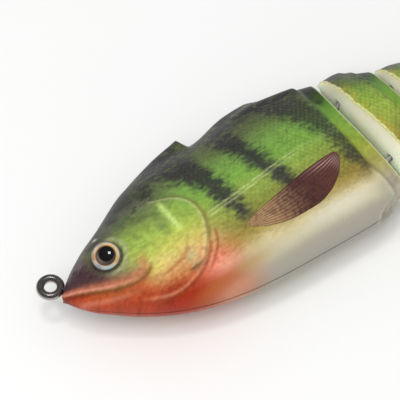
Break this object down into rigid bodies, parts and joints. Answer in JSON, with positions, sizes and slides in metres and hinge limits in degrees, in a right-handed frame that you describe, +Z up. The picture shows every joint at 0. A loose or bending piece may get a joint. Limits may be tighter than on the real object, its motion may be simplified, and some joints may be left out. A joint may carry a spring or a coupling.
{
  "type": "jointed swimbait",
  "caption": "Hard-bodied jointed swimbait in perch colours, lying on its side: hollow moulded sections on vertical pin hinges, wire line tie, domed eyes and soft tail fin.",
  "frame": {"origin": "middle of the footprint on the table, under the lure lying on its right side", "axes": "+X from the nose towards the tail fin, +Y towards the lure's back, +Z up, towards the lure's left side"},
  "size_m": [0.1662, 0.042, 0.02],
  "materials": {
    "painted_shell": "glossy clear coat over perch pattern",
    "line_tie": "dark polished wire",
    "lure_eye": "clear resin over foil",
    "ballast": "dull grey weight metal",
    "joint_wire": "bright drawn wire",
    "soft_tail": "soft satin"
  },
  "bodies": {
    "fore_section": {"fore_shell_left": "painted_shell", "fore_shell_right": "painted_shell", "line_tie_ring": "line_tie", "eye_left": "lure_eye", "eye_right": "lure_eye", "belly_ballast": "ballast", "joint1_upper_eye": "joint_wire", "joint1_lower_eye": "joint_wire"},
    "second_section": {"second_shell_left": "painted_shell", "second_shell_right": "painted_shell", "joint1_pin": "joint_wire", "joint2_upper_eye": "joint_wire", "joint2_lower_eye": "joint_wire"},
    "third_section": {"third_shell_left": "painted_shell", "third_shell_right": "painted_shell", "joint2_pin": "joint_wire", "joint3_upper_eye": "joint_wire", "joint3_lower_eye": "joint_wire"},
    "fourth_section": {"fourth_shell_left": "painted_shell", "fourth_shell_right": "painted_shell", "joint3_pin": "joint_wire", "joint4_upper_eye": "joint_wire", "joint4_lower_eye": "joint_wire"},
    "tail_section": {"tail_shell_left": "painted_shell", "tail_shell_right": "painted_shell", "joint4_pin": "joint_wire", "tail_fin": "soft_tail", "tail_fin_pin": "joint_wire"}
  },
  "joints": [
    {"name": "fore_to_second", "type": "hinge", "parent": "fore_section", "child": "second_section", "pos_m": [-0.00064, 0.00144, 0.01002], "axis": [0, 1, 0], "range_deg": [-28, 14]},
    {"name": "second_to_third", "type": "hinge", "parent": "second_section", "child": "third_section", "pos_m": [0.01276, 0.00144, 0.00838], "axis": [0, 1, 0], "range_deg": [-20.8, 21.2]},
    {"name": "third_to_fourth", "type": "hinge", "parent": "third_section", "child": "fourth_section", "pos_m": [0.02547, 0.00144, 0.00686], "axis": [0, 1, 0], "range_deg": [-21, 21]},
    {"name": "fourth_to_tail", "type": "hinge", "parent": "fourth_section", "child": "tail_section", "pos_m": [0.03739, 0.00144, 0.00544], "axis": [0, 1, 0], "range_deg": [-19.9, 22.1]}
  ]
}
